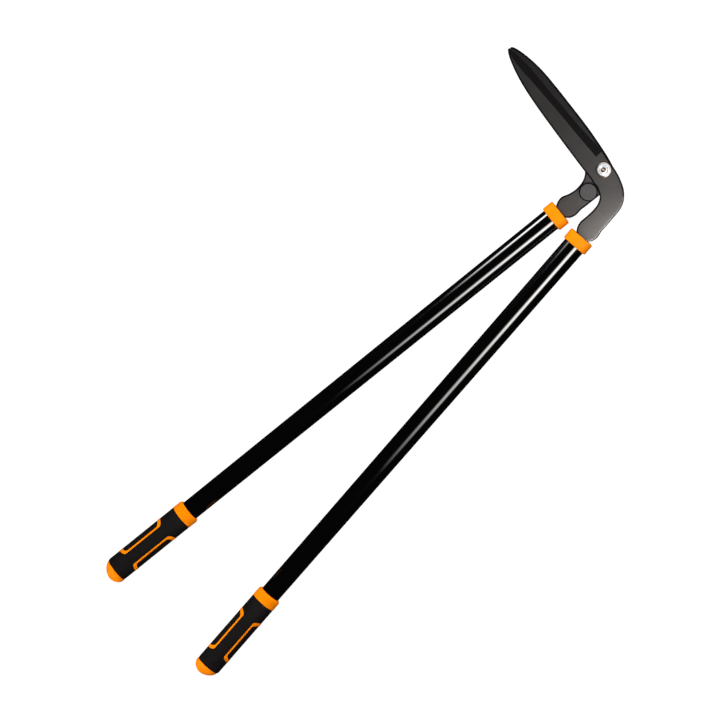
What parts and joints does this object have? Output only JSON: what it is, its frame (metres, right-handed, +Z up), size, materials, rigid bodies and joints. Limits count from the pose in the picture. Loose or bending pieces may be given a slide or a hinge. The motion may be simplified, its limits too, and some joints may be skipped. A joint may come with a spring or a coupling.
{
  "type": "long-handled grass shears",
  "caption": "Long-handled grass shears: crossing steel blades on a pivot bolt, angled tangs with a rubber stop, oval tube handles and two-colour soft grips.",
  "frame": {"origin": "bottom centre of the bounding box, with the shears lying flat and the blades closed", "axes": "+Y along the line that halves the angle between the two handles, towards the blades; +Z up, out of the plane of the blades and along the pivot bolt towards its head; the blades point towards -X"},
  "size_m": [0.3758, 1.0136, 0.033],
  "materials": {
    "coated_steel": "dark grey low-sheen coating on steel plate",
    "bright_steel": "bright plated",
    "black_gloss": "gloss black paint",
    "orange_plastic": "satin moulded",
    "soft_black": "matt soft-touch",
    "grey_rubber": "matt",
    "black_nylon": "plain moulded"
  },
  "bodies": {
    "lower_half": {"lower_blade": "coated_steel", "stop_buffer": "grey_rubber", "front_washer": "bright_steel", "rear_washer": "bright_steel", "pivot_bolt": "bright_steel", "lock_nut": "bright_steel", "lock_nut_ring": "black_nylon", "left_tube": "black_gloss", "left_collar": "orange_plastic", "left_tang_insert": "black_nylon", "left_tang_pin": "bright_steel", "left_grip_core": "orange_plastic", "left_grip_sleeve": "soft_black", "left_outer_pad": "soft_black", "left_inner_pad": "soft_black"},
    "upper_half": {"upper_blade": "coated_steel", "right_tube": "black_gloss", "right_collar": "orange_plastic", "right_tang_insert": "black_nylon", "right_tang_pin": "bright_steel", "right_grip_core": "orange_plastic", "right_grip_sleeve": "soft_black", "right_outer_pad": "soft_black", "right_inner_pad": "soft_black"}
  },
  "joints": [
    {"name": "blade_pivot", "type": "hinge", "parent": "lower_half", "child": "upper_half", "pos_m": [0.04159, 0.46964, 0.0165], "axis": [0, 0, 1], "range_deg": [0, 38]}
  ]
}
